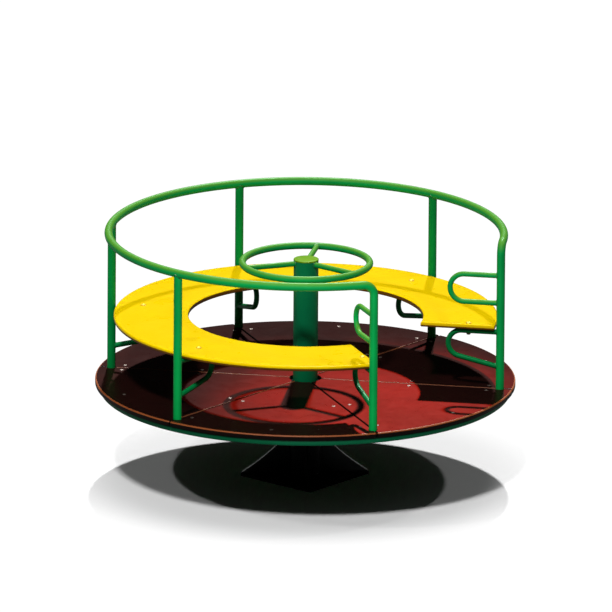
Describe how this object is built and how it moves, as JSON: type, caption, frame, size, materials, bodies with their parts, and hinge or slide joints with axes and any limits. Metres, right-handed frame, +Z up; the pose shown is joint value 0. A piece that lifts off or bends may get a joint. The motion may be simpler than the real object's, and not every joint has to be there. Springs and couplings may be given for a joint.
{
  "type": "merry-go-round",
  "caption": "Playground merry-go-round: round floor with C-shaped bench and guard rail, turning freely about a fixed column with a hand wheel, on a pedestal with a square base.",
  "frame": {"origin": "on the turning axis, on the underside of the base plate", "axes": "+Z up along the turning axis; the way in between the two end posts faces -Y; +X is to the right of someone who looks in through it"},
  "size_m": [1.5, 1.5, 0.9085],
  "materials": {
    "green_paint": "gloss",
    "dark_paint": "satin",
    "steel": "satin",
    "rubber": "matte",
    "floor_board": "gloss",
    "seat_board": "gloss"
  },
  "bodies": {
    "base": {"base_plate": "dark_paint", "pedestal_tube": "dark_paint", "gusset_1": "dark_paint", "gusset_2": "dark_paint", "gusset_3": "dark_paint", "gusset_4": "dark_paint", "spindle": "steel", "lower_bearing_cone": "steel", "bearing_spacer": "steel", "upper_bearing_inner_ring": "steel", "spindle_lock_nut": "steel", "column_foot_ring": "steel", "column_tube": "green_paint", "column_bulkhead": "steel", "column_bolt": "steel", "column_cap": "green_paint", "wheel_rim": "green_paint", "wheel_spoke_1": "green_paint", "wheel_spoke_2": "green_paint", "wheel_spoke_3": "green_paint"},
    "platform": {"hub_housing": "green_paint", "lower_bearing_cup": "steel", "upper_bearing_outer_ring": "steel", "hub_seal": "rubber", "frame_ring": "green_paint", "frame_arm_1": "green_paint", "frame_arm_2": "green_paint", "frame_arm_3": "green_paint", "frame_arm_4": "green_paint", "frame_arm_5": "green_paint", "frame_arm_6": "green_paint", "floor_panel_1": "floor_board", "floor_panel_2": "floor_board", "floor_panel_3": "floor_board", "floor_panel_4": "floor_board", "floor_panel_5": "floor_board", "floor_panel_6": "floor_board", "guard_rail": "green_paint", "post_1": "green_paint", "post_2": "green_paint", "post_3": "green_paint", "post_4": "green_paint", "seat_bracket_1": "green_paint", "seat_bracket_2": "green_paint", "seat_bracket_3": "green_paint", "seat_bracket_4": "green_paint", "seat_bracket_5": "green_paint", "seat_bracket_6": "green_paint", "entry_handle_1": "green_paint", "entry_handle_2": "green_paint", "seat_board": "seat_board", "seat_bolt_1": "steel", "seat_bolt_2": "steel", "seat_bolt_3": "steel", "seat_bolt_4": "steel", "seat_bolt_5": "steel", "seat_bolt_6": "steel"},
    "lower_rollers": {"lower_bearing_rollers": "steel"},
    "upper_balls": {"upper_bearing_balls": "steel"}
  },
  "joints": [
    {"name": "platform_spin", "type": "hinge", "parent": "base", "child": "platform", "pos_m": [0, 0, 0.36], "axis": [0, 0, 1], "continuous": true},
    {"name": "lower_rollers_spin", "type": "hinge", "parent": "base", "child": "lower_rollers", "pos_m": [0, 0, 0.2], "axis": [0, 0, 1], "continuous": true},
    {"name": "upper_balls_spin", "type": "hinge", "parent": "base", "child": "upper_balls", "pos_m": [0, 0, 0.309], "axis": [0, 0, 1], "continuous": true}
  ],
  "couplings": [
    {"joint": "lower_rollers_spin", "follows": "platform_spin", "ratio": 0.542},
    {"joint": "upper_balls_spin", "follows": "platform_spin", "ratio": 0.574}
  ]
}
